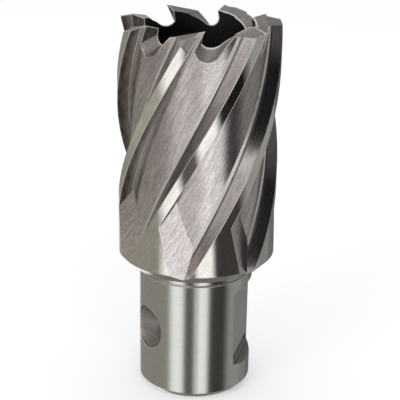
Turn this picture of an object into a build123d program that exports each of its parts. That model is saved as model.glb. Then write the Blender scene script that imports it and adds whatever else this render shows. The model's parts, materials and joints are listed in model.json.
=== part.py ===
from build123d import *
import math
import os

os.makedirs("parts", exist_ok=True)

# A short annular cutter, ground from one piece of high-speed steel. The shank end stands
# on Z = 0 and the teeth point up. Millimetres throughout. An azimuth is an angle about the
# axis, counted from -Y towards +X.

# Shank
shank_dia = 19.05
shank_end_chamfer = 1.2
neck_z = 20.9
neck_dia = 18.5

# Fluted body
body_dia = 26.0
shoulder_z = 22.7
shoulder_chamfer = 1.45
overall_len = 63.0
web_dia = 21.8
bore_dia = 17.4
bore_floor_z = 28.0
bore_floor_fall = 1.5

# Through hole for the pilot pin
pilot_dia = 6.4
pilot_chamfer = 0.6

# Helical flutes: each one starts at the rake face of a land and ends in a sloped flank, with
# the broken corner of the grinding wheel at the flank's foot
tooth_count = 7
helix_lead = 141.0
rake_azimuth_at_top = 0.6
land_angle = 8.9
flank_angle = 7.5
flank_foot_chamfer = 0.3
flute_overrun = 1.2

# Run-out of every flute above the shoulder, a flat left by the grinding wheel
runout_azimuth = -38.7
runout_tilt = 8.1
runout_distance = 14.45
runout_reach = 16.0

# Tooth tops: a crest line that falls away behind the tip, with a slope on each side of it
tip_azimuth = 4.4
crest_azimuth = -10.0
crest_fall = 12.6
inner_slope = 14.0
outer_slope = 13.0
top_half_len = 4.6
top_inner_width = 4.5
top_outer_width = 4.0
top_clearance = 3.0

# Gullets through the web, one ahead of each tip. Each corner of the outline is given by its
# run along the rim from the tip and its drop below the tooth tops: first at the web's
# outer face, then at the bore. At the bore, a plain tooth has its tip further ahead and its
# gullet's heel higher than a bevelled one.
outer_heel_run = -1.6
outer_heel_drop = 3.15
outer_floor_run = 0.35
outer_floor_drop = 4.8
outer_toe_run = 2.25
outer_toe_drop = 3.75
outer_back_run = 4.15
outer_back_drop = 1.1
inner_heel_run = -0.35
inner_heel_drop = 2.3
inner_floor_run = 1.0
inner_floor_drop = 3.0
inner_toe_run = 2.55
inner_toe_drop = 2.7
inner_back_run = 4.35
inner_back_drop = 1.4
plain_tip_lead = 0.45
plain_heel_rise = 0.7
gullet_lip_run = 2.6
gullet_overrun = 1.0
gullet_outset = 0.15
gullet_inset = 2.2

# Corner bevel of some teeth, ground across the outer end of the land
bevelled_teeth = (0, 4)
bevel_azimuth = 13.4
bevel_tilt = 19.8
bevel_distance = 31.75
bevel_mid_azimuth = -8.0
bevel_width = 11.0
bevel_depth = 5.0

# Drive flat on the shank, with a groove across its lower end
flat_azimuth = 75.0
flat_depth = 1.47
flat_low_z = 7.0
flat_high_z = 18.6
flat_high_ramp = 1.2
groove_z = 5.8
groove_depth = 1.98
groove_low_z = 4.5

# Round locating dimple on the shank: a drill-point cone with a chamfered rim
dimple_azimuth = -57.5
dimple_z = 11.5
dimple_rim_dia = 7.5
dimple_chamfer = 0.45
dimple_sink = 0.9
dimple_point_angle = 120.0

# How far a cut reaches past the surface that it opens
cut_margin = 0.5

shank_r = shank_dia / 2
neck_r = neck_dia / 2
body_r = body_dia / 2
web_r = web_dia / 2
bore_r = bore_dia / 2
pilot_r = pilot_dia / 2
pitch_angle = 360 / tooth_count
twist_rate = 360 / helix_lead


def around(radius, azimuth):
    """Point at a radius and an azimuth."""
    angle = math.radians(azimuth)
    return (radius * math.sin(angle), -radius * math.cos(angle))


def upright(azimuth, radius, height=0):
    """Upright plane at a radius: x runs along the rim, y runs up and z points outward."""
    return Plane(
        origin=(*around(radius, azimuth), height),
        x_dir=(*around(1, azimuth + 90), 0),
        z_dir=(*around(1, azimuth), 0),
    )


def tilted(azimuth, tilt, distance):
    """Plane at a distance from the origin, facing an azimuth and tilted up from level."""
    out = around(math.cos(math.radians(tilt)), azimuth)
    normal = Vector(out[0], out[1], math.sin(math.radians(tilt)))
    return Plane(origin=normal * distance, z_dir=normal)


def axial(azimuth, height=0):
    """Plane through the axis: x points outward at the azimuth and y runs up."""
    return Plane(
        origin=(0, 0, height),
        x_dir=(*around(1, azimuth), 0),
        z_dir=(*around(-1, azimuth + 90), 0),
    )


# Turned blank: shank, neck, shoulder, body, core cavity and pilot hole
with BuildPart() as blank:
    with BuildSketch(axial(tip_azimuth)):
        with BuildLine():
            Polyline(
                (pilot_r + pilot_chamfer, 0),
                (shank_r - shank_end_chamfer, 0),
                (shank_r, shank_end_chamfer),
                (shank_r, neck_z),
                (neck_r, neck_z),
                (neck_r, shoulder_z),
                (body_r - shoulder_chamfer, shoulder_z),
                (body_r, shoulder_z + shoulder_chamfer),
                (body_r, overall_len),
                (bore_r, overall_len),
                (bore_r, bore_floor_z),
                (pilot_r, bore_floor_z - bore_floor_fall),
                (pilot_r, pilot_chamfer),
                close=True,
            )
        make_face()
    revolve(axis=Axis.Z)

# Section of one flute at its low end: rake face, web, flank, and clear space outside
flute_low_z = shoulder_z - flute_overrun
flute_len = overall_len + flute_overrun - flute_low_z
flute_out_r = body_r + flute_overrun
rake_low = rake_azimuth_at_top - twist_rate * (overall_len - flute_low_z)
flank_top = rake_low + pitch_angle - land_angle
flank_foot = flank_top - flank_angle
flank_end = flank_top + flank_angle * flute_overrun / (body_r - web_r)

with BuildSketch(Plane.XY.offset(flute_low_z)) as flute_section:
    with BuildLine():
        Line(around(flute_out_r, rake_low), around(web_r, rake_low))
        CenterArc((0, 0), web_r, rake_low - 90, flank_foot - rake_low)
        Line(around(web_r, flank_foot), around(flute_out_r, flank_end))
        CenterArc((0, 0), flute_out_r, rake_low - 90, flank_end - rake_low)
    make_face()
    foot = flute_section.vertices().sort_by_distance(Vector(*around(web_r, flank_foot)))[0]
    chamfer(foot, flank_foot_chamfer)

# The metal that the grinding wheel leaves below the flat of the run-out
with BuildPart() as runout_rest:
    with BuildSketch(tilted(runout_azimuth, runout_tilt, runout_distance)):
        Rectangle(2 * overall_len, 2 * overall_len)
    extrude(amount=-2 * body_dia)
    split(bisect_by=Plane.XY.offset(shoulder_z + runout_reach), keep=Keep.BOTTOM)

# One flute: its section twisted up the body, less what the run-out leaves
twisted_space = Solid.extrude_linear_with_rotation(
    flute_section.sketch.faces()[0],
    (0, 0, flute_low_z),
    (0, 0, flute_len),
    twist_rate * flute_len,
)

with BuildPart() as flute:
    add(twisted_space)
    add(runout_rest.part, mode=Mode.SUBTRACT)


def gullet_outline(tip, heel, floor, toe, back):
    """Closed outline of a gullet from its tip round the floor, open above the tooth tops."""
    with BuildLine() as outline:
        Line((tip[0], gullet_overrun), tip)
        Line(tip, heel)
        ThreePointArc(heel, floor, toe)
        Line(toe, back)
        Line(back, (back[0] + gullet_lip_run, gullet_overrun))
        Line((back[0] + gullet_lip_run, gullet_overrun), (tip[0], gullet_overrun))
    return outline.line


def carried_inward(outer, inner):
    """Carry a gullet corner past the bore, along the line from its outer place."""
    reach = 1 + gullet_inset / (web_r - bore_r + gullet_outset)
    return (outer[0] + (inner[0] - outer[0]) * reach, outer[1] + (inner[1] - outer[1]) * reach)


def gullet_space(tip_lead, heel_rise):
    """Space of one gullet, lofted from just outside the web to well inside the bore."""
    outer = [
        (0, 0),
        (outer_heel_run, -outer_heel_drop),
        (outer_floor_run, -outer_floor_drop),
        (outer_toe_run, -outer_toe_drop),
        (outer_back_run, -outer_back_drop),
    ]
    bore = [
        (tip_lead, 0),
        (inner_heel_run + tip_lead, -inner_heel_drop + heel_rise),
        (inner_floor_run, -inner_floor_drop),
        (inner_toe_run, -inner_toe_drop),
        (inner_back_run, -inner_back_drop),
    ]
    inner = [carried_inward(*pair) for pair in zip(outer, bore)]
    with BuildPart() as gullet:
        for radius, corners in ((web_r + gullet_outset, outer), (bore_r - gullet_inset, inner)):
            with BuildSketch(upright(tip_azimuth, radius, overall_len)):
                add(gullet_outline(*corners))
                make_face()
        loft(ruled=True)
    return gullet.part


bevelled_gullet = gullet_space(0, 0)
plain_gullet = gullet_space(plain_tip_lead, plain_heel_rise)

# The space above one tooth, with its floor on the two slopes beside the crest line
crest_turn = math.radians(tip_azimuth - crest_azimuth)
crest_radius = web_r * math.cos(crest_turn)
crest_reach = web_r * math.sin(crest_turn)
crest_climb = math.tan(math.radians(crest_fall))
crest_along = Vector(*around(1, crest_azimuth + 90), crest_climb)
inner_drop = math.tan(math.radians(inner_slope)) * top_inner_width
outer_drop = math.tan(math.radians(outer_slope)) * top_outer_width

with BuildPart() as tooth_top:
    with BuildSketch(axial(crest_azimuth, overall_len - crest_reach * crest_climb)):
        with Locations((crest_radius, 0)):
            Polygon(
                (0, 0),
                (top_outer_width, -outer_drop),
                (top_outer_width, top_clearance),
                (-top_inner_width, top_clearance),
                (-top_inner_width, -inner_drop),
                align=None,
            )
    extrude(amount=top_half_len, dir=crest_along, both=True)

# The space beyond a corner bevel, kept to the width of one tooth
with BuildPart() as corner_bevel:
    with BuildSketch(tilted(bevel_azimuth, bevel_tilt, bevel_distance)):
        Rectangle(4 * overall_len, 4 * overall_len)
    extrude(amount=body_r)
    with BuildSketch(upright(bevel_mid_azimuth, body_r - bevel_depth, overall_len)):
        Rectangle(bevel_width, 2 * bevel_depth)
    extrude(amount=2 * bevel_depth, mode=Mode.INTERSECT)

with BuildPart() as cutter:
    add(blank.part)
    with PolarLocations(0, tooth_count):
        add(flute.part, mode=Mode.SUBTRACT)
    with PolarLocations(0, tooth_count):
        add(tooth_top.part, mode=Mode.SUBTRACT)
    for tooth in range(tooth_count):
        with Locations(Rotation(0, 0, tooth * pitch_angle)):
            if tooth in bevelled_teeth:
                add(bevelled_gullet, mode=Mode.SUBTRACT)
                add(corner_bevel.part, mode=Mode.SUBTRACT)
            else:
                add(plain_gullet, mode=Mode.SUBTRACT)

    # Drive flat, ramped out at its high end
    flat_r = shank_r - flat_depth
    flat_half_width = math.sqrt(shank_r**2 - flat_r**2)
    with BuildSketch(axial(flat_azimuth)):
        Polygon(
            (flat_r, flat_low_z),
            (flat_r, flat_high_z),
            (shank_r + cut_margin, flat_high_z + flat_high_ramp),
            (shank_r + cut_margin, flat_low_z),
            align=None,
        )
    extrude(amount=shank_r, both=True, mode=Mode.SUBTRACT)

    # Groove across the flat's low end, no wider than the flat
    with BuildSketch(axial(flat_azimuth)):
        Polygon(
            (flat_r, flat_low_z),
            (shank_r - groove_depth, groove_z),
            (shank_r, groove_low_z),
            (shank_r + cut_margin, groove_low_z),
            (shank_r + cut_margin, flat_low_z),
            align=None,
        )
    extrude(amount=flat_half_width, both=True, mode=Mode.SUBTRACT)

    # Locating dimple
    dimple_r = dimple_rim_dia / 2 - dimple_chamfer
    dimple_fall = dimple_r / math.tan(math.radians(dimple_point_angle / 2))
    with BuildSketch(axial(dimple_azimuth, dimple_z)):
        Polygon(
            (shank_r - dimple_sink - dimple_fall, 0),
            (shank_r - dimple_sink, dimple_r),
            (shank_r - dimple_sink + dimple_chamfer, dimple_r + dimple_chamfer),
            (shank_r + cut_margin, dimple_r + dimple_chamfer),
            (shank_r + cut_margin, 0),
            align=None,
        )
    revolve(axis=Axis((0, 0, dimple_z), (*around(1, dimple_azimuth), 0)), mode=Mode.SUBTRACT)

cutter.part.label = "cutter_body"
export_step(cutter.part, "parts/cutter_body.step")
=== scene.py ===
import json
import logging
import math
from dataclasses import dataclass
from enum import Enum
from typing import Optional, Union

import bmesh
import bpy
from mathutils import Matrix, Vector


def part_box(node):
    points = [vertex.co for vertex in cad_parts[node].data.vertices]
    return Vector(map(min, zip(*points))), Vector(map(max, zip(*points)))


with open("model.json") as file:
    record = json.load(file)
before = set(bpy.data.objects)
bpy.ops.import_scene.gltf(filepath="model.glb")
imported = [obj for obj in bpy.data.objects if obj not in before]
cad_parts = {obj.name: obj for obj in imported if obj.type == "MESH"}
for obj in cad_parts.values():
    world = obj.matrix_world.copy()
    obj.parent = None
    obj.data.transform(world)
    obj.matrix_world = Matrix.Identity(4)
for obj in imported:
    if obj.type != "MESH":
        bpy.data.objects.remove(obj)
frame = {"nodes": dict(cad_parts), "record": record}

# A short annular cutter of ground steel, standing on its shank end on a pale floor. The
# frame gives its shape. This script gives it the finish of each ground surface, with
# painted shade on the rake faces, bore, recesses and nooks and painted highlights on the
# edges and feet, and the floor, tent, lamps and camera. Sizes are millimetres unless a
# docstring says otherwise, and turn into metres where Blender takes them. An azimuth is an
# angle about the cutter's axis, counted from -Y towards +X, in degrees.

MM = 0.001
FULL_TURN = 360.0
HALF_TURN = 180.0
WHITE = (1.0, 1.0, 1.0, 1.0)
NODE = "cutter_body"

log = logging.getLogger("annular_cutter")

Socket = bpy.types.NodeSocket
Feed = Union[Socket, float, tuple]
Span = tuple[float, float]
Colour = tuple[float, float, float]


def clear_startup() -> None:
    """Remove the objects that a new Blender file starts with."""
    for name in ("Cube", "Light", "Camera"):
        startup = bpy.data.objects.get(name)
        if startup is not None:
            bpy.data.objects.remove(startup)


def around(radius: float, azimuth: float, height: float) -> Vector:
    """Find a point by its azimuth.

    Args:
        radius: Distance from the axis.
        azimuth: Angle from -Y towards +X, in degrees.
        height: Height above the floor.

    Returns:
        The point, in the unit of the radius and height.
    """
    angle = math.radians(azimuth)
    return Vector((radius * math.sin(angle), -radius * math.cos(angle), height))


@dataclass(frozen=True)
class CutterForm:
    """Sizes of the ground cutter, in millimetres and degrees.

    The teeth's corner bevel lies on a cone. There the radius and the height times
    bevel_fall add up to bevel_sum.
    """

    shank_r: float
    body_r: float
    length: float
    neck_z: float = 20.9
    shoulder_z: float = 22.7
    web_r: float = 10.9
    bore_r: float = 8.7
    tooth_count: int = 7
    helix_lead: float = 141.0
    rake_azimuth_at_top: float = 0.6
    land_angle: float = 8.9
    bevel_fall: float = 0.36
    bevel_sum: float = 33.72

    @property
    def pitch(self) -> float:
        """Angle from one tooth to the next."""
        return FULL_TURN / self.tooth_count

    @property
    def land_start(self) -> float:
        """Share of the pitch at which the land begins."""
        return 1.0 - self.land_angle / self.pitch


def form_from_frame() -> CutterForm:
    """Read the driving sizes of the cutter from the frame.

    Returns:
        The form, with the shank's radius from its mount, the body's radius and length from the
        box, and the other sizes as the form gives them.
    """
    low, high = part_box(NODE)
    mounts = {mount["name"]: mount for mount in frame["record"]["mounts"]}
    return CutterForm(
        shank_r=mounts["shank"]["dims"]["r_mm"],
        body_r=(high.x - low.x) / 2 / MM,
        length=(high.z - low.z) / MM,
    )


@dataclass(frozen=True)
class Grain:
    """One noise of the marks on the steel."""

    scale: float
    detail: float
    rough: float


class NodeSheet:
    """Lays shader nodes into one tree and links them."""

    def __init__(self, tree: bpy.types.NodeTree) -> None:
        """Start on the tree that the nodes go into."""
        self.tree = tree

    def add(self, kind: str, **settings: object) -> bpy.types.Node:
        """Add one node.

        Args:
            kind: The node's type name.
            **settings: Properties set on the node.

        Returns:
            The new node.
        """
        node = self.tree.nodes.new(kind)
        for name, value in settings.items():
            setattr(node, name, value)
        return node

    def feed(self, target: Socket, value: Feed) -> None:
        """Link a socket, or set its value, as the value given asks.

        Args:
            target: The input to feed.
            value: A socket to link, or a number or colour to set.
        """
        if isinstance(value, bpy.types.NodeSocket):
            self.tree.links.new(value, target)
        elif isinstance(value, tuple) and target.type == "RGBA" and len(value) == 3:
            target.default_value = (*value, 1.0)
        else:
            target.default_value = value

    def math(self, operation: str, a: Feed, b: Optional[Feed] = None) -> Socket:
        """Work out one number.

        Args:
            operation: The Math node's operation.
            a: First number.
            b: Second number, where the operation takes one.

        Returns:
            The result's socket.
        """
        node = self.add("ShaderNodeMath", operation=operation)
        self.feed(node.inputs[0], a)
        if b is not None:
            self.feed(node.inputs[1], b)
        return node.outputs[0]

    def product(self, first: Feed, *others: Feed) -> Socket:
        """Multiply numbers, so that masks hold only where they all do.

        Args:
            first: First number.
            *others: The other numbers.

        Returns:
            The product's socket.
        """
        result = first
        for other in others:
            result = self.math("MULTIPLY", result, other)
        return result

    def largest(self, first: Feed, *others: Feed) -> Socket:
        """Take the largest number, so that masks hold where any of them does.

        Args:
            first: First number.
            *others: The other numbers.

        Returns:
            The largest number's socket.
        """
        result = first
        for other in others:
            result = self.math("MAXIMUM", result, other)
        return result

    def step(self, value: Feed, span: tuple[Feed, Feed]) -> Socket:
        """Rise smoothly from 0 to 1 between two values.

        Args:
            value: The number tested.
            span: Where the result is 0, and where it is 1. The second may lie below the
                first, for a fall.

        Returns:
            The result's socket.
        """
        node = self.add("ShaderNodeMapRange", interpolation_type="SMOOTHSTEP")
        self.feed(node.inputs["Value"], value)
        self.feed(node.inputs["From Min"], span[0])
        self.feed(node.inputs["From Max"], span[1])
        return node.outputs["Result"]

    def band(self, value: Feed, span: Span, soft: float) -> Socket:
        """Mark the values between two limits.

        Args:
            value: The number tested.
            span: Lower and upper limit.
            soft: Half the width of each soft edge.

        Returns:
            A mask of 1 inside and 0 outside.
        """
        low, high = span
        rise = self.step(value, (low - soft, low + soft))
        fall = self.step(value, (high + soft, high - soft))
        return self.product(rise, fall)

    def mix(self, factor: Feed, a: Feed, b: Feed) -> Socket:
        """Mix two colours.

        Args:
            factor: 0 for the first and 1 for the second.
            a: First colour.
            b: Second colour.

        Returns:
            The mixed colour's socket.
        """
        node = self.add("ShaderNodeMix", data_type="RGBA")
        self.feed(node.inputs[0], factor)
        self.feed(node.inputs[6], a)
        self.feed(node.inputs[7], b)
        return node.outputs[2]

    def blend(self, factor: Feed, a: Feed, b: Feed) -> Socket:
        """Mix two numbers.

        Args:
            factor: 0 for the first and 1 for the second.
            a: First number.
            b: Second number.

        Returns:
            The mixed number's socket.
        """
        node = self.add("ShaderNodeMix", data_type="FLOAT")
        self.feed(node.inputs[0], factor)
        self.feed(node.inputs[2], a)
        self.feed(node.inputs[3], b)
        return node.outputs[0]

    def blend_limits(self, factor: Feed, a: Span, b: Span) -> tuple[Socket, Socket]:
        """Mix two pairs of limits as blend mixes two numbers."""
        return self.blend(factor, a[0], b[0]), self.blend(factor, a[1], b[1])

    def noise(self, vector: Socket, grain: Grain) -> Socket:
        """Lay a noise over a vector.

        Args:
            vector: Where the noise is read.
            grain: The noise's scale, octaves and roughness.

        Returns:
            The noise value's socket, about 0.5 on average.
        """
        node = self.add("ShaderNodeTexNoise")
        self.feed(node.inputs["Vector"], vector)
        self.feed(node.inputs["Scale"], grain.scale)
        self.feed(node.inputs["Detail"], grain.detail)
        self.feed(node.inputs["Roughness"], grain.rough)
        return node.outputs["Fac"]

    def vector(self, x: Feed, y: Feed, z: Feed) -> Socket:
        """Join three numbers into a vector.

        Args:
            x: First number.
            y: Second number.
            z: Third number.

        Returns:
            The vector's socket.
        """
        node = self.add("ShaderNodeCombineXYZ")
        for target, value in zip(node.inputs, (x, y, z)):
            self.feed(target, value)
        return node.outputs[0]

    def parts(self, vector: Socket) -> tuple[Socket, Socket, Socket]:
        """Split a vector into its three numbers.

        Args:
            vector: The vector.

        Returns:
            The sockets of its X, Y and Z.
        """
        node = self.add("ShaderNodeSeparateXYZ")
        self.feed(node.inputs[0], vector)
        return tuple(node.outputs)

    def turn(self, x: Socket, y: Socket) -> Socket:
        """Find the azimuth of a point from its X and Y, in radians."""
        return self.math("ARCTAN2", x, self.product(y, -1.0))

    def show(self, shader: Socket, kind: str = "ShaderNodeOutputMaterial") -> None:
        """End the tree with its output node, which shows the shader."""
        output = self.add(kind)
        self.feed(output.inputs["Surface"], shader)


def new_material(name: str) -> tuple[bpy.types.Material, NodeSheet]:
    """Make a material with an empty tree.

    Args:
        name: The material's name.

    Returns:
        The material and the sheet of its tree.
    """
    material = bpy.data.materials.new(name)
    material.use_nodes = True
    material.node_tree.nodes.clear()
    return material, NodeSheet(material.node_tree)


def new_group(
    name: str, inputs: dict[str, str], outputs: dict[str, str]
) -> bpy.types.NodeTree:
    """Make an empty shader node group.

    Args:
        name: The group's name.
        inputs: Input names and their socket types.
        outputs: Output names and their socket types.

    Returns:
        The group, with its input and output nodes in place.
    """
    group = bpy.data.node_groups.new(name, "ShaderNodeTree")
    for label, kind in inputs.items():
        group.interface.new_socket(name=label, in_out="INPUT", socket_type=kind)
    for label, kind in outputs.items():
        group.interface.new_socket(name=label, in_out="OUTPUT", socket_type=kind)
    group.nodes.new("NodeGroupInput")
    group.nodes.new("NodeGroupOutput")
    return group


@dataclass(frozen=True)
class Place:
    """Sockets that say where a point lies on the cutter and how far its normal rises."""

    position: Socket
    radius: Socket
    azimuth: Socket
    height: Socket
    across: Socket
    lift: Socket


class HelicalPlace:
    """Node group that says where a point lies on the fluted cutter."""

    NAME = "helical_place"

    def __init__(self, form: CutterForm) -> None:
        """Build the group.

        Args:
            form: The cutter's form.
        """
        labels = ("Radius", "Azimuth", "Height", "Across")
        outputs = {label: "NodeSocketFloat" for label in labels}
        self.group = new_group(self.NAME, {"Position": "NodeSocketVector"}, outputs)
        sheet = NodeSheet(self.group)
        x, y, z = sheet.parts(self.group.nodes["Group Input"].outputs["Position"])
        squares = sheet.math("ADD", sheet.product(x, x), sheet.product(y, y))
        radius = sheet.math("DIVIDE", sheet.math("SQRT", squares), MM)
        azimuth = sheet.math("DEGREES", sheet.turn(x, y))
        height = sheet.math("DIVIDE", z, MM)
        below_top = sheet.math("SUBTRACT", form.length, height)
        twist = sheet.product(below_top, FULL_TURN / form.helix_lead)
        from_tip = sheet.math("SUBTRACT", azimuth, form.rake_azimuth_at_top)
        from_rake = sheet.math("DIVIDE", sheet.math("ADD", from_tip, twist), form.pitch)
        across = sheet.math("FLOORED_MODULO", from_rake, 1.0)
        end = self.group.nodes["Group Output"]
        for label, value in zip(labels, (radius, azimuth, height, across)):
            sheet.feed(end.inputs[label], value)

    def read(self, sheet: NodeSheet) -> Place:
        """Add the group to a material's tree.

        Args:
            sheet: The material's tree.

        Returns:
            The place of the point shaded.
        """
        position = sheet.add("ShaderNodeTexCoord").outputs["Object"]
        node = sheet.add("ShaderNodeGroup", node_tree=self.group)
        sheet.feed(node.inputs[0], position)
        normal = sheet.add("ShaderNodeNewGeometry").outputs["Normal"]
        return Place(position, *node.outputs, sheet.parts(normal)[2])


@dataclass(frozen=True)
class SurfaceLimits:
    """Where each kind of surface begins or ends.

    A mask rises from 0 to 1 between two limits, and a zone's mask is 1 between them.
    Limits named past a size are counted from it, in millimetres. Azimuths are degrees, a
    lift is the Z part of the surface's normal, and an across is a share of the pitch.
    """

    fluted_past_shoulder: Span = (1.5, 1.7)
    crown_past_top: Span = (-6.5, -6.0)
    solid_past_bore: Span = (0.02, 0.06)
    cavity_past_shoulder: Span = (0.0, 1.0)
    cavity_past_bore: Span = (0.06, 0.02)
    land_past_body: Span = (-0.08, -0.03)
    flute_past_body: Span = (-0.03, -0.08)
    behind_across: Span = (0.60, 0.62)
    flank_lift: Span = (0.25, 0.30)
    foot_lift_zone: Span = (0.18, 0.27)
    floor_lift_zone: Span = (-0.10, 0.06)
    floor_across: Span = (0.70, 0.66)
    seam_past_web: Span = (0.55, 0.40)
    rake_lift: Span = (-0.15, -0.25)
    upright_past_web: Span = (-0.10, 0.0)
    root_past_web: Span = (1.5, 0.6)
    rake_foot_past_web: Span = (0.38, 0.26)
    front_bevel_zone: Span = (-32.0, 14.0)
    back_bevel_azimuth: Span = (-138.0, -140.0)
    bevel_past_cone: Span = (-0.15, 0.0)
    gullet_past_web: Span = (-0.05, -0.12)
    top_lift: Span = (0.62, 0.75)
    sunk_past_shank: Span = (-0.03, -0.10)
    shank_past_neck: Span = (-0.3, -0.6)
    flat_zone: Span = (40.0, 110.0)
    groove_height: Span = (7.1, 6.9)
    dimple_zone: Span = (-84.0, -30.0)
    dimple_height: Span = (4.0, 5.0)
    lit_rim_azimuth: Span = (-29.0, -25.0)
    rim_past_bore: Span = (0.34, 0.22)
    lit_rake_edge_azimuth: Span = (-40.0, -38.0)
    before_rake_across: Span = (0.955, 0.965)
    after_rake_across: Span = (0.03, 0.02)
    lift_soft: float = 0.01
    azimuth_soft: float = 1.0


class SurfaceMasks:
    """Masks of the cutter's surfaces, each 1 on its surface and 0 elsewhere."""

    body: Socket
    crown: Socket
    cavity: Socket
    land: Socket
    web: Socket
    flank: Socket
    foot: Socket
    seam: Socket
    floor: Socket
    rake: Socket
    rake_root: Socket
    rake_foot: Socket
    bevel: Socket
    gullet: Socket
    top: Socket
    rim: Socket
    lit_rake_edge: Socket
    flat: Socket
    groove: Socket
    dimple: Socket

    def __init__(self, sheet: NodeSheet, form: CutterForm, place: Place) -> None:
        """Lay the masks into a material's tree.

        Args:
            sheet: The material's tree.
            form: The cutter's form.
            place: The place of the point shaded.
        """
        self.sheet = sheet
        self.form = form
        self.place = place
        self.limits = SurfaceLimits()
        self.mark_body()
        self.mark_flutes()
        self.mark_crown()
        self.mark_shank()

    def past(self, value: Socket, size: float, span: Span) -> Socket:
        """Mark where a value has passed a size, between two limits counted from it."""
        return self.sheet.step(value, (size + span[0], size + span[1]))

    def mark_body(self) -> None:
        """Mark the fluted body, its crown of teeth, its lands and its cavity."""
        form, place, limits = self.form, self.place, self.limits
        fluted = self.past(place.height, form.shoulder_z, limits.fluted_past_shoulder)
        solid = self.past(place.radius, form.bore_r, limits.solid_past_bore)
        self.body = self.sheet.product(fluted, solid)
        self.crown = self.past(place.height, form.length, limits.crown_past_top)
        deep = self.past(place.height, form.shoulder_z, limits.cavity_past_shoulder)
        inside = self.past(place.radius, form.bore_r, limits.cavity_past_bore)
        self.cavity = self.sheet.product(deep, inside)
        outermost = self.past(place.radius, form.body_r, limits.land_past_body)
        self.land = self.sheet.product(outermost, fluted)

    def mark_flutes(self) -> None:
        """Mark the surfaces of the flutes: web floor, flank and its foot, and rake."""
        sheet, form, place, limits = self.sheet, self.form, self.place, self.limits
        within = self.past(place.radius, form.body_r, limits.flute_past_body)
        self.web = sheet.product(within, self.body)
        behind = sheet.step(place.across, limits.behind_across)
        self.flank = sheet.product(self.web, behind, sheet.step(place.lift, limits.flank_lift))
        slight = sheet.band(place.lift, limits.foot_lift_zone, limits.lift_soft)
        self.foot = sheet.product(self.web, behind, slight)
        low_flank = self.past(place.radius, form.web_r, limits.seam_past_web)
        self.seam = sheet.product(self.flank, low_flank)
        level = sheet.band(place.lift, limits.floor_lift_zone, limits.lift_soft)
        before = sheet.step(place.across, limits.floor_across)
        self.floor = sheet.product(self.web, level, before)
        self.rake = sheet.product(self.web, sheet.step(place.lift, limits.rake_lift))
        upright = self.past(place.radius, form.web_r, limits.upright_past_web)
        upright = sheet.product(self.rake, upright)
        near = self.past(place.radius, form.web_r, limits.root_past_web)
        self.rake_root = sheet.product(upright, near)
        nearest = self.past(place.radius, form.web_r, limits.rake_foot_past_web)
        self.rake_foot = sheet.product(upright, nearest)

    def mark_crown(self) -> None:
        """Mark the surfaces of the teeth: corner bevel, gullet and top, and the bore rim and
        rake edges of the lit side, which take a painted highlight.
        """
        sheet, form, place, limits = self.sheet, self.form, self.place, self.limits
        cone = sheet.math("ADD", place.radius, sheet.product(place.height, form.bevel_fall))
        front = sheet.band(place.azimuth, limits.front_bevel_zone, limits.azimuth_soft)
        back = sheet.step(place.azimuth, limits.back_bevel_azimuth)
        beyond = self.past(cone, form.bevel_sum, limits.bevel_past_cone)
        self.bevel = sheet.product(self.web, sheet.largest(front, back), beyond)
        toothed = sheet.product(self.crown, self.body)
        within = self.past(place.radius, form.web_r, limits.gullet_past_web)
        self.gullet = sheet.product(toothed, within)
        self.top = sheet.product(toothed, sheet.step(place.lift, limits.top_lift))
        # The bore rim is marked only on the lit side, for a painted highlight.
        shown = sheet.step(place.azimuth, limits.lit_rim_azimuth)
        inner = self.past(place.radius, form.bore_r, limits.rim_past_bore)
        self.rim = sheet.product(toothed, shown, inner)
        # The rake edges of the lit side are marked for a painted highlight.
        before_rake = sheet.step(place.across, limits.before_rake_across)
        after_rake = sheet.step(place.across, limits.after_rake_across)
        at_rake = sheet.largest(before_rake, after_rake)
        bright = sheet.step(place.azimuth, limits.lit_rake_edge_azimuth)
        self.lit_rake_edge = sheet.product(self.crown, at_rake, bright)

    def mark_shank(self) -> None:
        """Mark what is cut into the shank: drive flat, its groove, and dimple."""
        sheet, form, place, limits = self.sheet, self.form, self.place, self.limits
        sunk = self.past(place.radius, form.shank_r, limits.sunk_past_shank)
        low = self.past(place.height, form.neck_z, limits.shank_past_neck)
        cut = sheet.product(sunk, low)
        right = sheet.band(place.azimuth, limits.flat_zone, limits.azimuth_soft)
        self.flat = sheet.product(cut, right)
        self.groove = sheet.product(self.flat, sheet.step(place.height, limits.groove_height))
        left = sheet.band(place.azimuth, limits.dimple_zone, limits.azimuth_soft)
        above = sheet.step(place.height, limits.dimple_height)
        self.dimple = sheet.product(cut, left, above)


@dataclass(frozen=True)
class Finish:
    """Look of one kind of ground surface."""

    dark: Colour
    light: Colour
    rough: float


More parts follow.
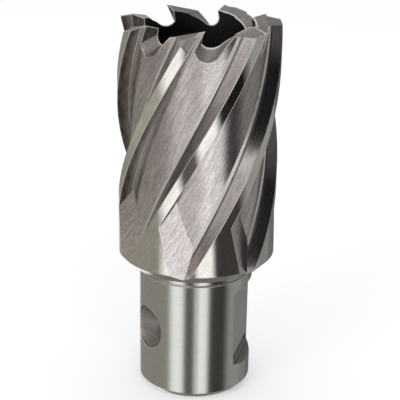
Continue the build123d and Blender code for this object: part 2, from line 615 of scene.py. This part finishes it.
class Finishes(Enum):
    """The finishes that the grinding, turning and hardening left, with painted shade on the
    rakes, bore, groove, dimple and nooks, and painted highlights on the feet and edges.
    """

    SHANK = Finish((0.70, 0.695, 0.665), (0.79, 0.785, 0.755), 0.17)
    WEB = Finish((0.57, 0.523, 0.506), (0.935, 0.876, 0.856), 0.22)
    FLANK = Finish((0.42, 0.385, 0.368), (0.60, 0.56, 0.542), 0.20)
    # The foot of each flank and of each rake is painted light as a painted highlight.
    FOOT_HIGHLIGHT = Finish((0.86, 0.825, 0.795), (0.95, 0.92, 0.89), 0.35)
    LAND = Finish((0.76, 0.725, 0.685), (1.0, 0.955, 0.905), 0.10)
    # The rake faces are painted dark as painted shade, a little less dark at their root.
    RAKE_SHADE = Finish((0.10, 0.085, 0.078), (0.28, 0.255, 0.24), 0.40)
    ROOT = Finish((0.30, 0.275, 0.25), (0.46, 0.43, 0.395), 0.40)
    TOP = Finish((0.40, 0.385, 0.365), (0.56, 0.54, 0.52), 0.40)
    GULLET = Finish((0.40, 0.37, 0.355), (0.66, 0.61, 0.59), 0.55)
    BEVEL = Finish((0.66, 0.64, 0.61), (0.90, 0.88, 0.85), 0.55)
    # The bore is painted near black as painted shade inside the cutter.
    BORE_SHADE = Finish((0.05, 0.052, 0.05), (0.10, 0.103, 0.10), 0.50)
    FLAT = Finish((0.86, 0.85, 0.84), (0.95, 0.94, 0.93), 0.42)
    # The groove under the flat is painted dark as painted shade in the recess.
    GROOVE_SHADE = Finish((0.16, 0.155, 0.15), (0.40, 0.39, 0.375), 0.42)
    # The dimple is painted darker than the shank as painted shade in the recess.
    DIMPLE_SHADE = Finish((0.33, 0.305, 0.285), (0.52, 0.49, 0.465), 0.45)
    # Edges, the bore rim and the lit rake edges are painted light as a painted highlight.
    EDGE_HIGHLIGHT = Finish((0.86, 0.84, 0.81), (0.96, 0.95, 0.93), 0.45)
    # The low flank by the web and the nooks are painted near black as painted shade.
    CORNER_SHADE = Finish((0.05, 0.045, 0.04), (0.12, 0.105, 0.095), 0.50)


class Grains(Enum):
    """The noises that make the marks."""

    FINE = Grain(4.2, 3.0, 0.8)
    BROAD = Grain(1.1, 2.0, 0.5)
    RINGS = Grain(1.6, 3.0, 0.6)
    MOTTLE = Grain(3200.0, 2.0, 0.6)


@dataclass(frozen=True)
class Marks:
    """The grinding marks along the flutes, the turned rings and the mottle.

    A stretch is how fast a noise runs along a direction, so a small one draws it out, and
    the slice is where the broad noise is cut across its third direction. A share is how
    much of one noise is mixed into the others. The marks turn from a finish's dark colour
    to its light one between the two contrast values.
    """

    fine_height_stretch: float = 0.11
    fine_radius_stretch: float = 0.3
    broad_height_stretch: float = 0.10
    broad_slice: float = 3.0
    broad_share: float = 0.18
    ring_azimuth_stretch: float = 0.004
    ring_height_stretch: float = 6.0
    mottle_share: float = 0.20
    crown_mottle_share: float = 0.38
    contrast: Span = (0.34, 0.66)
    web_contrast: Span = (0.38, 0.62)

    def lay(self, masks: SurfaceMasks) -> Socket:
        """Lay the marks over the steel.

        Args:
            masks: The masks of the cutter's surfaces.

        Returns:
            The height of the marks, about 0.5 on average.
        """
        sheet, form, place = masks.sheet, masks.form, masks.place
        past_land = sheet.math("SUBTRACT", place.across, form.land_start)
        share = sheet.math("FLOORED_MODULO", past_land, 1.0)
        arc = sheet.product(share, form.pitch * math.radians(1.0) * form.web_r)
        along = sheet.product(place.height, self.fine_height_stretch)
        outwards = sheet.product(place.radius, self.fine_radius_stretch)
        fine = sheet.noise(sheet.vector(arc, along, outwards), Grains.FINE.value)
        along = sheet.product(place.height, self.broad_height_stretch)
        broad = sheet.noise(sheet.vector(arc, along, self.broad_slice), Grains.BROAD.value)
        flute_marks = sheet.blend(self.broad_share, fine, broad)
        turned = sheet.product(place.azimuth, self.ring_azimuth_stretch)
        upwards = sheet.product(place.height, self.ring_height_stretch)
        ring_marks = sheet.noise(sheet.vector(turned, upwards, 0.0), Grains.RINGS.value)
        mottle = sheet.noise(place.position, Grains.MOTTLE.value)
        mottle_share = sheet.blend(masks.crown, self.mottle_share, self.crown_mottle_share)
        tool_marks = sheet.blend(masks.body, ring_marks, flute_marks)
        return sheet.blend(mottle_share, tool_marks, mottle)

    def spread(self, masks: SurfaceMasks, marks: Socket) -> Socket:
        """Turn the marks' height into the share that a finish's light colour takes."""
        limits = masks.sheet.blend_limits(masks.web, self.contrast, self.web_contrast)
        return masks.sheet.step(marks, limits)


@dataclass(frozen=True)
class EdgeHighlightsAndNookShade:
    """Painted highlights on the edges and painted shade in the nooks.

    A reach is the distance searched, in millimetres. A pair of limits is how open the
    surroundings are where an edge or nook starts and where it is full. A share is how
    strongly its painted finish, or the foot's loss of metal shine under its painted
    highlight, covers what lies under it.
    """

    samples: int = 8
    edge_reach: float = 0.18
    edge_highlit: Span = (0.86, 0.60)
    lit_rake_edge_highlit: Span = (0.96, 0.80)
    edge_share: float = 0.85
    nook_reach: float = 0.45
    nook_dark: Span = (0.85, 0.45)
    nook_share: float = 0.7
    seam_shade_share: float = 0.65
    foot_highlight_share: float = 0.4
    highlight_metallic: float = 0.35

    def openness(self, sheet: NodeSheet, reach: float, inside: bool) -> Socket:
        """Find how open the surroundings of a point are.

        Args:
            sheet: The material's tree.
            reach: The distance searched.
            inside: True to search inside the steel.

        Returns:
            The openness, from 0 to 1.
        """
        node = sheet.add(
            "ShaderNodeAmbientOcclusion", samples=self.samples, inside=inside, only_local=True
        )
        sheet.feed(node.inputs["Distance"], reach * MM)
        return node.outputs["AO"]

    def edges(self, masks: SurfaceMasks) -> Socket:
        """Mark the edges that take a painted highlight.

        Args:
            masks: The masks of the cutter's surfaces.

        Returns:
            The mask, which takes in more on the rake edges of the lit side.
        """
        sheet = masks.sheet
        limits = sheet.blend_limits(masks.lit_rake_edge, self.edge_highlit, self.lit_rake_edge_highlit)
        return sheet.step(self.openness(sheet, self.edge_reach, inside=True), limits)

    def nooks(self, masks: SurfaceMasks) -> Socket:
        """Mark the nooks of the fluted body, which take painted shade.

        Args:
            masks: The masks of the cutter's surfaces.

        Returns:
            The mask.
        """
        sheet = masks.sheet
        shut = sheet.step(self.openness(sheet, self.nook_reach, inside=False), self.nook_dark)
        return sheet.product(shut, masks.body)


@dataclass(frozen=True)
class Relief:
    """How the surface's normals are rounded, dished and roughened.

    The radius and the depth are millimetres, and the slope is a rise over a run. The
    smooth share is how much of the marks' relief the lands and flanks keep.
    """

    round_r: float = 0.14
    round_samples: int = 6
    dish_slope: float = 0.14
    mark_depth: float = 0.03
    mark_strength: float = 0.35
    smooth_share: float = 0.25

    def bump(self, sheet: NodeSheet, depth: float, strength: float) -> bpy.types.Node:
        """Add a bump node.

        Args:
            sheet: The material's tree.
            depth: How high a height of 1 stands.
            strength: The strength, from 0 to 1.

        Returns:
            The node, whose height and normal are still to be fed.
        """
        node = sheet.add("ShaderNodeBump")
        sheet.feed(node.inputs["Strength"], strength)
        sheet.feed(node.inputs["Distance"], depth * MM)
        return node

    def normal(self, masks: SurfaceMasks, marks: Socket) -> Socket:
        """Work out the shading normal.

        Edges are rounded, the web floors are tilted as dished floors are, and the marks
        stand in relief, less so on the lands and flanks.

        Args:
            masks: The masks of the cutter's surfaces.
            marks: The marks' height.

        Returns:
            The normal's socket.
        """
        sheet = masks.sheet
        rounded = sheet.add("ShaderNodeBevel", samples=self.round_samples)
        sheet.feed(rounded.inputs["Radius"], self.round_r * MM)
        dished = self.bump(sheet, self.dish_slope, 1.0)
        sheet.feed(dished.inputs["Height"], sheet.product(masks.place.height, -1.0))
        sheet.feed(dished.inputs["Normal"], rounded.outputs[0])
        facing = sheet.add("ShaderNodeMix", data_type="VECTOR")
        sheet.feed(facing.inputs[0], masks.floor)
        sheet.feed(facing.inputs[4], rounded.outputs[0])
        sheet.feed(facing.inputs[5], dished.outputs[0])
        share = sheet.blend(sheet.largest(masks.land, masks.flank), 1.0, self.smooth_share)
        marked = self.bump(sheet, self.mark_depth, self.mark_strength)
        sheet.feed(marked.inputs["Height"], sheet.product(marks, share))
        sheet.feed(marked.inputs["Normal"], facing.outputs[1])
        return marked.outputs[0]


class GroundSteel:
    """The cutter's steel, with the finish of each surface that was ground or turned, and
    painted shade and highlights.
    """

    NAME = "ground_steel"

    def __init__(self, form: CutterForm, place: HelicalPlace) -> None:
        """Keep what the surfaces are told apart by.

        Args:
            form: The cutter's form.
            place: The node group that places a point on it.
        """
        self.form = form
        self.place = place
        self.marks = Marks()
        self.edge_light_and_shade = EdgeHighlightsAndNookShade()
        self.relief = Relief()

    def layers(
        self, masks: SurfaceMasks, edges: Socket
    ) -> tuple[tuple[Socket, Finishes], ...]:
        """List the finishes that lie over the shank's.

        Args:
            masks: The masks of the cutter's surfaces.
            edges: The mask of the edges that take a painted highlight.

        Returns:
            Each finish with its mask, the lowest first.
        """
        sheet, edge_light_and_shade = masks.sheet, self.edge_light_and_shade
        return (
            (masks.flat, Finishes.FLAT),
            (masks.groove, Finishes.GROOVE_SHADE),
            (masks.dimple, Finishes.DIMPLE_SHADE),
            (masks.web, Finishes.WEB),
            (masks.gullet, Finishes.GULLET),
            (masks.flank, Finishes.FLANK),
            # Painted shade along the low flank by the web.
            (sheet.product(masks.seam, edge_light_and_shade.seam_shade_share), Finishes.CORNER_SHADE),
            # Painted highlight on the foot of each flank.
            (masks.foot, Finishes.FOOT_HIGHLIGHT),
            (masks.rake, Finishes.RAKE_SHADE),
            (masks.rake_root, Finishes.ROOT),
            # Painted highlight on the foot of each rake.
            (masks.rake_foot, Finishes.FOOT_HIGHLIGHT),
            (masks.land, Finishes.LAND),
            (masks.bevel, Finishes.BEVEL),
            (masks.top, Finishes.TOP),
            (masks.cavity, Finishes.BORE_SHADE),
            # Painted shade in the nooks.
            (sheet.product(edge_light_and_shade.nooks(masks), edge_light_and_shade.nook_share), Finishes.CORNER_SHADE),
            # Painted highlight on the bore rim and on the edges.
            (masks.rim, Finishes.EDGE_HIGHLIGHT),
            (sheet.product(edges, edge_light_and_shade.edge_share), Finishes.EDGE_HIGHLIGHT),
        )

    def build(self) -> bpy.types.Material:
        """Build the material.

        Returns:
            The finished material.
        """
        material, sheet = new_material(self.NAME)
        masks = SurfaceMasks(sheet, self.form, self.place.read(sheet))
        marks = self.marks.lay(masks)
        spread = self.marks.spread(masks, marks)
        edges = self.edge_light_and_shade.edges(masks)
        first = Finishes.SHANK.value
        colour = sheet.mix(spread, first.dark, first.light)
        rough: Feed = first.rough
        for mask, kind in self.layers(masks, edges):
            finish = kind.value
            colour = sheet.mix(mask, colour, sheet.mix(spread, finish.dark, finish.light))
            rough = sheet.blend(mask, rough, finish.rough)
        # The painted highlights lose some metal shine, so that they stay light from every side.
        foot_highlight = sheet.product(masks.foot, self.edge_light_and_shade.foot_highlight_share)
        painted_highlights = sheet.largest(edges, masks.rim, foot_highlight)
        metallic = sheet.blend(painted_highlights, 1.0, self.edge_light_and_shade.highlight_metallic)
        surface = sheet.add("ShaderNodeBsdfPrincipled")
        sheet.feed(surface.inputs["Metallic"], metallic)
        sheet.feed(surface.inputs["Base Color"], colour)
        sheet.feed(surface.inputs["Roughness"], rough)
        sheet.feed(surface.inputs["Normal"], self.relief.normal(masks, marks))
        sheet.show(surface.outputs[0])
        return material


@dataclass
class CutterBody:
    """The one-piece cutter, as the frame holds it."""

    form: CutterForm

    def dress(self) -> None:
        """Give the node its material."""
        node = frame["nodes"][NODE]
        material = GroundSteel(self.form, HelicalPlace(self.form)).build()
        for holder in node.material_slots:
            holder.material = material
        log.info("%s dressed with %s", NODE, material.name)


def light_path_mask(sheet: NodeSheet) -> Socket:
    """Mark the rays that show the background: camera, glossy and transmission rays.

    Args:
        sheet: The tree that the nodes go into.

    Returns:
        A mask of 1 on those rays.
    """
    rays = sheet.add("ShaderNodeLightPath").outputs
    kinds = ("Is Camera Ray", "Is Glossy Ray", "Is Transmission Ray")
    return sheet.largest(*(rays[kind] for kind in kinds))


@dataclass(frozen=True)
class StudioWorld:
    """The pale surroundings."""

    seen_level: float = 1.0
    light_level: float = 0.6

    def build(self) -> None:
        """Set the world's colour: white where it is seen, softer where it lights."""
        world = bpy.data.worlds.new("pale_surroundings")
        bpy.context.scene.world = world
        world.use_nodes = True
        world.cycles.sampling_method = "NONE"
        world.node_tree.nodes.clear()
        sheet = NodeSheet(world.node_tree)
        glow = sheet.add("ShaderNodeBackground")
        sheet.feed(glow.inputs["Color"], WHITE)
        level = sheet.blend(light_path_mask(sheet), self.light_level, self.seen_level)
        sheet.feed(glow.inputs["Strength"], level)
        sheet.show(glow.outputs[0], "ShaderNodeOutputWorld")
        log.info("world built")


def new_studio_object(
    name: str, shape: bmesh.types.BMesh, material: bpy.types.Material
) -> bpy.types.Object:
    """Make an object of the studio from a bmesh, which is freed.

    Args:
        name: The object's and its mesh's name.
        shape: The shape.
        material: Its material.

    Returns:
        The object, linked to the scene.
    """
    mesh = bpy.data.meshes.new(name)
    shape.to_mesh(mesh)
    shape.free()
    mesh.materials.append(material)
    piece = bpy.data.objects.new(name, mesh)
    bpy.context.scene.collection.objects.link(piece)
    return piece


@dataclass(frozen=True)
class StudioFloor:
    """A plain pale floor, its half size in metres. Glossy rays don't see it."""

    half_size: float = 3.0
    colour: Colour = (0.86, 0.86, 0.86)
    lift_level: float = 0.36

    def paint(self) -> bpy.types.Material:
        """Make the floor's material, lifted a little where the camera sees it.

        Returns:
            The material.
        """
        material, sheet = new_material("pale_floor")
        paint = sheet.add("ShaderNodeBsdfDiffuse")
        sheet.feed(paint.inputs["Color"], self.colour)
        glow = sheet.add("ShaderNodeEmission")
        level = sheet.product(light_path_mask(sheet), self.lift_level)
        sheet.feed(glow.inputs["Strength"], level)
        both = sheet.add("ShaderNodeAddShader")
        sheet.feed(both.inputs[0], paint.outputs[0])
        sheet.feed(both.inputs[1], glow.outputs[0])
        sheet.show(both.outputs[0])
        return material

    def build(self) -> bpy.types.Object:
        """Make the floor.

        Returns:
            The floor's object.
        """
        shape = bmesh.new()
        bmesh.ops.create_grid(shape, x_segments=1, y_segments=1, size=self.half_size)
        floor = new_studio_object("studio_floor", shape, self.paint())
        floor.visible_glossy = False
        log.info("floor built")
        return floor


@dataclass(frozen=True)
class Strip:
    """A strip of card on the tent's wall, between two azimuths."""

    start: float
    end: float
    tone: Colour
    soft: float = 4.0

    @property
    def reach(self) -> Span:
        """The azimuths at which its soft edges end outside."""
        return self.start - self.soft, self.end + self.soft

    @property
    def core(self) -> Span:
        """The azimuths at which its soft edges end inside."""
        return self.start + self.soft, self.end - self.soft


class TentTier(Enum):
    """The strips on each tier of the tent's wall, from the lowest tier up."""

    LOW = (
        Strip(-158.0, -51.0, (0.275, 0.265, 0.235), 6.0),
        Strip(-23.0, 1.0, (0.095, 0.092, 0.088)),
        Strip(27.0, 66.0, (0.045, 0.043, 0.04)),
        Strip(72.0, 108.0, (0.30, 0.30, 0.295)),
        Strip(108.0, 134.0, (0.23, 0.23, 0.225)),
        Strip(136.0, 174.0, (0.15, 0.15, 0.147)),
    )
    BROW = (
        Strip(-166.0, -114.0, (0.265, 0.26, 0.225), 6.0),
        Strip(-104.0, -51.0, (0.365, 0.36, 0.305), 6.0),
        Strip(-23.0, 1.0, (0.095, 0.092, 0.088)),
        Strip(28.0, 66.0, (0.008, 0.008, 0.0078)),
        Strip(72.0, 108.0, (0.32, 0.32, 0.315)),
        Strip(108.0, 134.0, (0.30, 0.30, 0.295)),
        Strip(138.0, 174.0, (0.095, 0.095, 0.093)),
    )
    LEVEL = (
        Strip(-176.0, -130.0, (0.20, 0.19, 0.175), 8.0),
        Strip(-120.0, -86.0, (0.185, 0.175, 0.165), 8.0),
        Strip(-78.0, -48.0, (0.31, 0.295, 0.285), 8.0),
        Strip(42.0, 72.0, (0.035, 0.035, 0.034), 5.0),
        Strip(77.0, 112.0, (0.20, 0.20, 0.195), 6.0),
        Strip(120.0, 172.0, (0.165, 0.165, 0.16), 6.0),
    )
    MIDDLE = (
        Strip(-176.0, -128.0, (0.35, 0.327, 0.304), 8.0),
        Strip(-120.0, -86.0, (0.29, 0.275, 0.261), 8.0),
        Strip(-78.0, -44.0, (0.265, 0.252, 0.245), 8.0),
        Strip(-36.0, 8.0, (0.58, 0.56, 0.553), 6.0),
        Strip(44.0, 70.0, (0.040, 0.040, 0.039), 5.0),
        Strip(76.0, 112.0, (0.20, 0.20, 0.195), 6.0),
        Strip(120.0, 172.0, (0.165, 0.165, 0.16), 6.0),
    )
    HIGH = (
        Strip(-176.0, -114.0, (0.30, 0.29, 0.27)),
        Strip(-110.0, -80.0, (0.30, 0.29, 0.27)),
        Strip(-74.0, -60.0, (0.58, 0.565, 0.55)),
        Strip(-54.0, -30.0, (0.74, 0.72, 0.70)),
        Strip(-12.0, 60.0, (0.012, 0.012, 0.012)),
        Strip(66.0, 96.0, (0.12, 0.12, 0.12)),
        Strip(102.0, 176.0, (0.30, 0.30, 0.29)),
    )


@dataclass(frozen=True)
class LightTent:
    """A round white tent with strips of card on its wall, seen only in the steel.

    Each tier begins where the rise above the horizon, in degrees, passes its border.
    """

    radius: float = 1500.0
    middle: float = 35.0
    segments: int = 48
    rings: int = 24
    below_tone: Colour = (0.22, 0.215, 0.205)
    roof_tone: Colour = (0.50, 0.49, 0.47)
    roof_border: Span = (46.0, 56.0)
    tiers: tuple[tuple[Span, TentTier], ...] = (
        ((-50.0, -42.0), TentTier.LOW),
        ((-19.0, -17.0), TentTier.BROW),
        ((-12.0, -9.0), TentTier.LEVEL),
        ((-9.0, -6.5), TentTier.MIDDLE),
        ((5.0, 11.0), TentTier.HIGH),
    )

    def wall(self, sheet: NodeSheet, share: Socket, tier: TentTier) -> Socket:
        """Lay the strips of one tier round the wall, which is white between them.

        Args:
            sheet: The tree that the nodes go into.
            share: Azimuth as a share of the whole turn, 0.5 at -Y.
            tier: The tier.

        Returns:
            The wall's tone.
        """
        ramp = sheet.add("ShaderNodeValToRGB")
        sheet.feed(ramp.inputs[0], share)
        stops = ramp.color_ramp.elements
        stops.remove(stops[-1])
        stops[0].position = 0.0
        stops[0].color = WHITE
        strips = tier.value
        for strip in strips:
            for azimuth in strip.core:
                stops.new(azimuth / FULL_TURN + 0.5).color = (*strip.tone, 1.0)
        reaches = [strip.reach for strip in strips]
        for azimuth in [low for low, _ in reaches] + [high for _, high in reaches]:
            covered = any(low < azimuth < high for low, high in reaches)
            if not covered and abs(azimuth) < HALF_TURN:
                stops.new(azimuth / FULL_TURN + 0.5).color = WHITE
        return ramp.outputs["Color"]

    def cloth(self) -> bpy.types.Material:
        """Make the tent's material.

        Returns:
            The material.
        """
        material, sheet = new_material("tent_wall")
        x, y, z = sheet.parts(sheet.add("ShaderNodeTexCoord").outputs["Object"])
        share = sheet.math("DIVIDE", sheet.turn(x, y), 2.0 * math.pi)
        share = sheet.math("ADD", share, 0.5)
        slope = sheet.math("DIVIDE", z, self.radius * MM)
        rise = sheet.math("DEGREES", sheet.math("ARCSINE", slope))
        tone: Feed = self.below_tone
        for border, tier in self.tiers:
            tone = sheet.mix(sheet.step(rise, border), tone, self.wall(sheet, share, tier))
        tone = sheet.mix(sheet.step(rise, self.roof_border), tone, self.roof_tone)
        glow = sheet.add("ShaderNodeEmission")
        sheet.feed(glow.inputs["Color"], tone)
        sheet.show(glow.outputs[0])
        material.cycles.emission_sampling = "NONE"
        return material

    def build(self) -> bpy.types.Object:
        """Make the tent.

        Returns:
            The tent's object.
        """
        shape = bmesh.new()
        bmesh.ops.create_uvsphere(
            shape, u_segments=self.segments, v_segments=self.rings, radius=self.radius * MM
        )
        tent = new_studio_object("light_tent", shape, self.cloth())
        tent.location = (0.0, 0.0, self.middle * MM)
        tent.visible_camera = False
        tent.visible_diffuse = False
        tent.visible_transmission = False
        tent.visible_shadow = False
        log.info("tent built")
        return tent


@dataclass(frozen=True)
class Softbox:
    """A square lamp that faces the cutter, its power in watts. Glossy rays don't see it."""

    name: str
    azimuth: float
    elevation: float
    distance: float
    size: float
    power: float
    aim_height: float = 35.0

    def build(self) -> bpy.types.Object:
        """Make the lamp.

        Returns:
            The lamp's object.
        """
        data = bpy.data.lights.new(self.name, "AREA")
        data.size = self.size * MM
        data.energy = self.power
        lamp = bpy.data.objects.new(self.name, data)
        elevation = math.radians(self.elevation)
        level = self.distance * math.cos(elevation) * MM
        rise = self.distance * math.sin(elevation) * MM
        target = Vector((0.0, 0.0, self.aim_height * MM))
        lamp.location = target + around(level, self.azimuth, rise)
        lamp.rotation_euler = (target - lamp.location).to_track_quat("-Z", "Y").to_euler()
        lamp.visible_glossy = False
        bpy.context.scene.collection.objects.link(lamp)
        log.info("lamp %s built", self.name)
        return lamp


@dataclass(frozen=True)
class PhotoCamera:
    """The camera, fitted to the photograph's 400 x 400 frame.

    Pixels are the photograph's, tilt and roll are radians, and the sensor's width is in
    the camera's own millimetres.
    """

    frame_px: float = 400.0
    focal_px: float = 1095.8655
    centre_x_px: float = 196.7598
    centre_y_px: float = 205.0
    distance: float = 169.6442
    height: float = 97.1633
    tilt: float = 0.3691
    roll: float = 0.0166
    sensor: float = 36.0
    clip_start: float = 10.0

    def build(self) -> bpy.types.Object:
        """Make the camera and set it as the scene's.

        Returns:
            The camera's object.
        """
        data = bpy.data.cameras.new("photo_camera")
        data.sensor_width = self.sensor
        data.lens = self.focal_px / self.frame_px * self.sensor
        data.shift_x = (self.frame_px / 2 - self.centre_x_px) / self.frame_px
        data.shift_y = (self.centre_y_px - self.frame_px / 2) / self.frame_px
        data.clip_start = self.clip_start * MM
        camera = bpy.data.objects.new("photo_camera", data)
        ahead = Vector((0.0, math.cos(self.tilt), -math.sin(self.tilt)))
        right = Vector((1.0, 0.0, 0.0))
        up = right.cross(ahead)
        turned_right = right * math.cos(self.roll) + up * math.sin(self.roll)
        turned_up = up * math.cos(self.roll) - right * math.sin(self.roll)
        place = Matrix((turned_right, turned_up, -ahead)).transposed().to_4x4()
        place.translation = Vector((0.0, -self.distance * MM, self.height * MM))
        camera.matrix_world = place
        bpy.context.scene.collection.objects.link(camera)
        bpy.context.scene.camera = camera
        log.info("camera built")
        return camera


def build_studio() -> None:
    """Make the world, the floor, the tent, the lamps and the camera."""
    StudioWorld().build()
    StudioFloor().build()
    LightTent().build()
    lamps = (
        Softbox(
            "left_softbox", azimuth=-40.0, elevation=38.0, distance=700.0, size=260.0, power=0.5
        ),
        Softbox(
            "right_softbox", azimuth=17.0, elevation=45.0, distance=800.0, size=240.0, power=0.5
        ),
        Softbox(
            "top_softbox", azimuth=180.0, elevation=75.0, distance=900.0, size=500.0, power=0.8
        ),
    )
    for lamp in lamps:
        lamp.build()
    PhotoCamera().build()


def main() -> None:
    """Dress the cutter and build the studio round it."""
    logging.basicConfig(level=logging.INFO, format="%(name)s: %(message)s")
    clear_startup()
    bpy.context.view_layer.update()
    form = form_from_frame()
    CutterBody(form).dress()
    build_studio()
    bpy.context.scene.view_settings.view_transform = "Standard"


if __name__ == "__main__":
    main()
